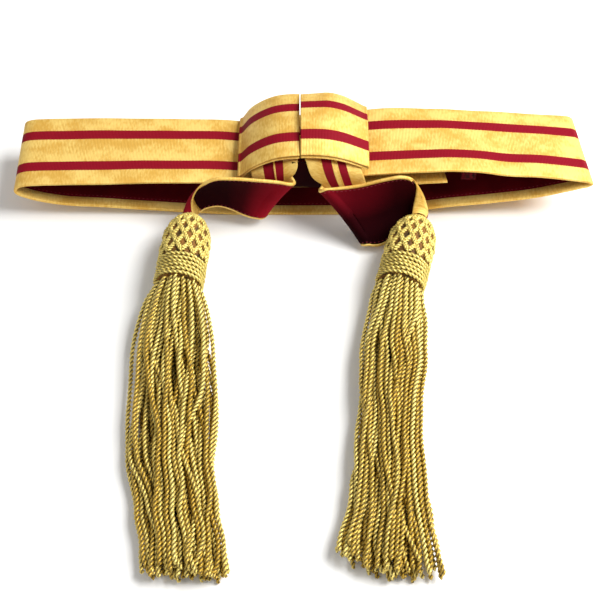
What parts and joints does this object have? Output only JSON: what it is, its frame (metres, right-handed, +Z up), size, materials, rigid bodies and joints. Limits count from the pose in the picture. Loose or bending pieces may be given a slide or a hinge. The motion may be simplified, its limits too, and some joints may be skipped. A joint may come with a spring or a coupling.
{
  "type": "ceremonial waist sash",
  "caption": "Gold lace waist sash with crimson stripes, a bow at the front and tasselled tails, lying closed on its back half.",
  "frame": {"origin": "under the middle of the sash's bounding box, on the surface it lies on", "axes": "+X along the belt, towards the right of the sash as seen from the tassels; +Z up; the tassels point to -Y"},
  "size_m": [0.438, 0.3688, 0.0774],
  "materials": {
    "gold_lace": "ribbed gold wire lace with two woven crimson silk stripes",
    "crimson_lining": "dark crimson silk lining",
    "crimson_tape": "crimson woven tape",
    "tassel_gold": "twisted gold bullion cord, netted over the head and bound round the collar",
    "tassel_mould": "brown-gold padded tassel mould seen through the net"
  },
  "bodies": {
    "root": {"belt_lace": "gold_lace", "belt_lining": "crimson_lining", "belt_keeper": "crimson_tape", "bow_left_loop": "gold_lace", "bow_right_loop": "gold_lace", "tail_left_lace": "gold_lace", "tail_left_lining": "crimson_lining", "tail_right_lace": "gold_lace", "tail_right_lining": "crimson_lining", "tassel_left_mould": "tassel_mould", "tassel_left_net": "tassel_gold", "tassel_left_collar": "tassel_gold", "tassel_left_skirt": "tassel_gold", "tassel_right_mould": "tassel_mould", "tassel_right_net": "tassel_gold", "tassel_right_collar": "tassel_gold", "tassel_right_skirt": "tassel_gold"}
  },
  "joints": []
}
